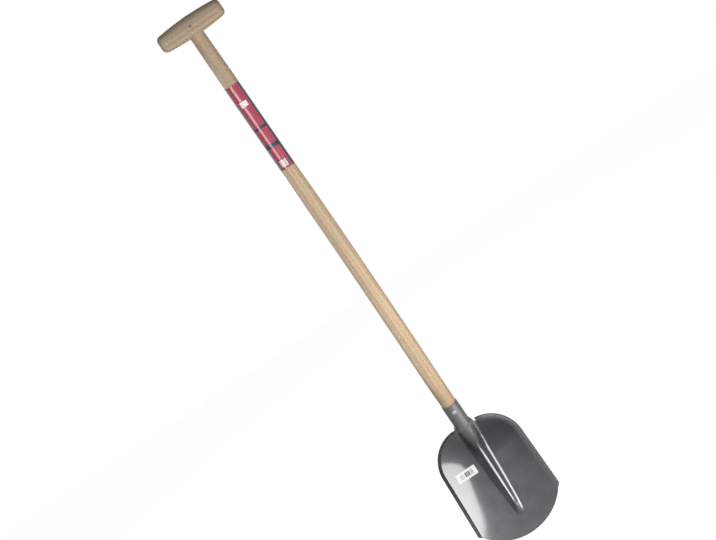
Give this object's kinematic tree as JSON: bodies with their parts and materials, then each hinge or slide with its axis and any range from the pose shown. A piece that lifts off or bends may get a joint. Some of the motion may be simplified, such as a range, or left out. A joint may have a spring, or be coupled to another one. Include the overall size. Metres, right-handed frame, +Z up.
{
  "type": "long handled spade",
  "caption": "Long handled spade with a wooden T grip and shaft, and a dished steel blade with turned-up rims, a raised rib and a riveted socket.",
  "frame": {"origin": "on the shaft's axis at the underside of the grip, where a rack's two pegs hold the hanging spade", "axes": "+Z up the shaft towards the grip, -Y the hollow front of the blade, +X along the grip to the right seen from the front"},
  "size_m": [0.2062, 0.0943, 1.2799],
  "materials": {
    "blade_lacquer": "clear-coated dark grey lacquer on pressed steel",
    "shaft_ash": "turned ash, sanded",
    "grip_ash": "shaped ash, sanded, greyer than the shaft",
    "pin_steel": "dark steel",
    "rivet_steel": "lacquered with the blade",
    "label_film": "glossy printed film, red with dark blue edges",
    "tag_paper": "coated paper"
  },
  "bodies": {
    "root": {"blade": "blade_lacquer", "shaft": "shaft_ash", "grip": "grip_ash", "grip_wedge": "grip_ash", "grip_pin": "pin_steel", "socket_rivet": "rivet_steel", "rivet_washer": "rivet_steel", "handle_label": "label_film", "price_tag": "tag_paper", "blade_sticker": "tag_paper"}
  },
  "joints": []
}
